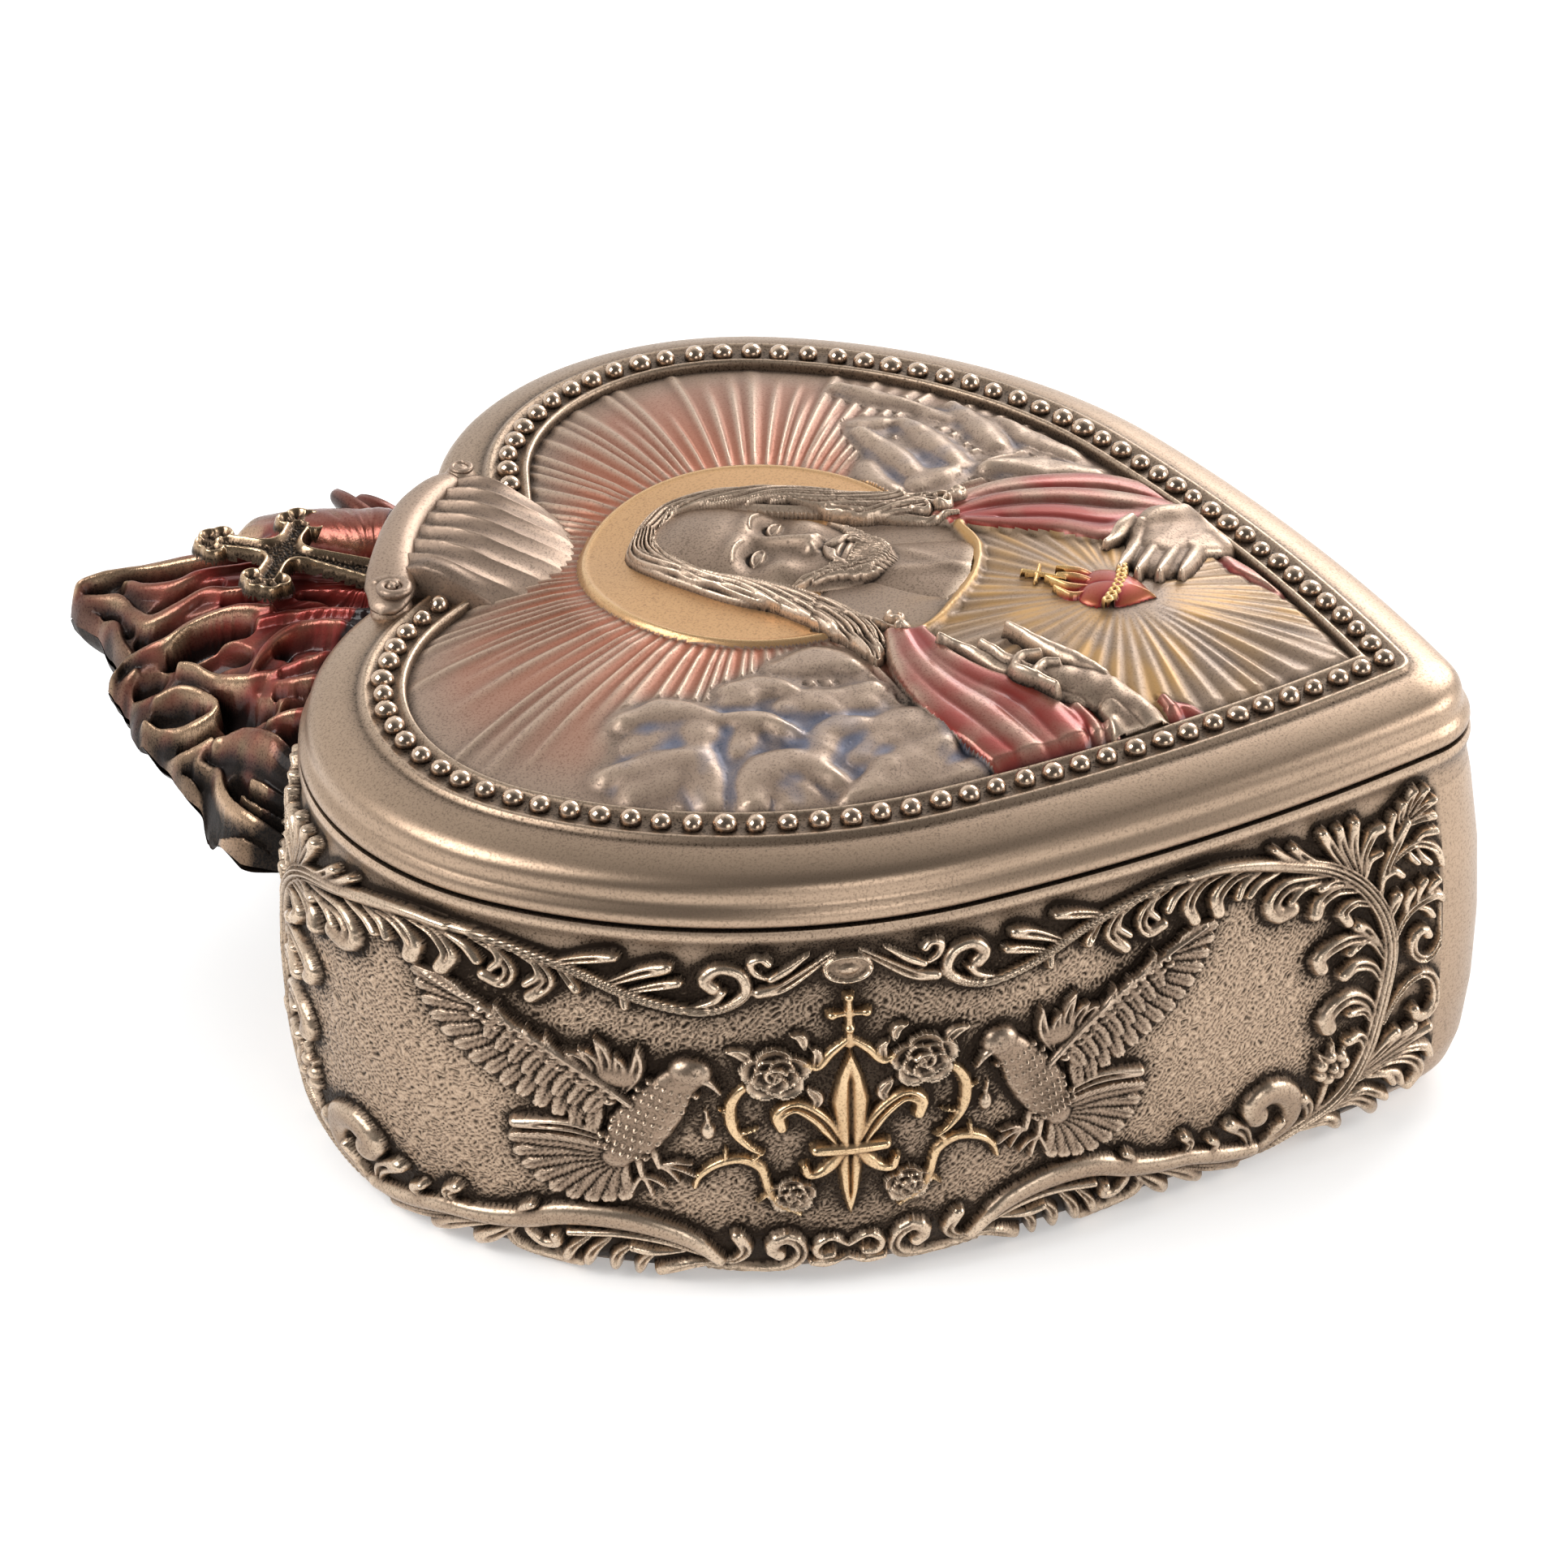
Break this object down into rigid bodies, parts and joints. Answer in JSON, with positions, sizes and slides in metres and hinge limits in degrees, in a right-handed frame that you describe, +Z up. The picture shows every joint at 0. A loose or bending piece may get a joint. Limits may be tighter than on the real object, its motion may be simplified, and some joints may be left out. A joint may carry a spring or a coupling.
{
  "type": "heart trinket box",
  "caption": "Heart-shaped keepsake box with a lift-off lid, relief walls, a devotional picture, a beaded rim and a flame crest with a cross at the notch.",
  "frame": {"origin": "middle of the bounding box's footprint, on the surface that the box stands on", "axes": "+Y from the heart's tip to its notch and flame, +Z up, +X to the right seen from above with +Y away from the viewer"},
  "size_m": [0.116, 0.1456, 0.0524],
  "materials": {
    "bronze": "satin bronze coating with dark patina in the hollows",
    "dark_bronze": "satin bronze coating, heavily darkened",
    "bright_bronze": "satin bronze coating, rubbed bright",
    "gold": "satin pale gold coating",
    "red_lacquer": "translucent red lacquer over bronze, gloss in the hollows",
    "painted_panel": "satin bronze tinted salmon and blue-grey",
    "felt": "matte dark felt"
  },
  "bodies": {
    "base": {"base_shell": "bronze", "felt_pad": "felt", "left_tip_spray": "bronze", "left_tip_swag": "bronze", "left_tip_foot_scroll": "bronze", "left_tip_dove": "bright_bronze", "left_tip_rose": "bronze", "left_notch_spray": "bronze", "left_notch_swag": "bronze", "left_notch_foot_scroll": "bronze", "left_notch_dove": "bright_bronze", "left_notch_rose": "bronze", "left_cartouche": "bronze", "left_lily": "gold", "right_tip_spray": "bronze", "right_tip_swag": "bronze", "right_tip_foot_scroll": "bronze", "right_tip_dove": "bright_bronze", "right_tip_rose": "bronze", "right_notch_spray": "bronze", "right_notch_swag": "bronze", "right_notch_foot_scroll": "bronze", "right_notch_dove": "bright_bronze", "right_notch_rose": "bronze", "right_cartouche": "bronze", "right_lily": "gold", "flame_crest": "red_lacquer", "crest_cross": "gold"},
    "lid": {"lid_shell": "bronze", "picture_panel": "painted_panel", "bead_row": "bright_bronze", "halo": "gold", "robe": "bronze", "head": "dark_bronze", "hair": "dark_bronze", "left_mantle": "red_lacquer", "right_mantle": "red_lacquer", "blessing_hand": "dark_bronze", "heart_hand": "dark_bronze", "flaming_heart": "red_lacquer", "left_cloud": "painted_panel", "right_cloud": "painted_panel", "scroll_bar": "bronze", "pleated_band": "bronze"}
  },
  "joints": [
    {"name": "lid_lift", "type": "slide", "parent": "base", "child": "lid", "axis": [0, 0, 1], "range_m": [0, 0.05]}
  ]
}
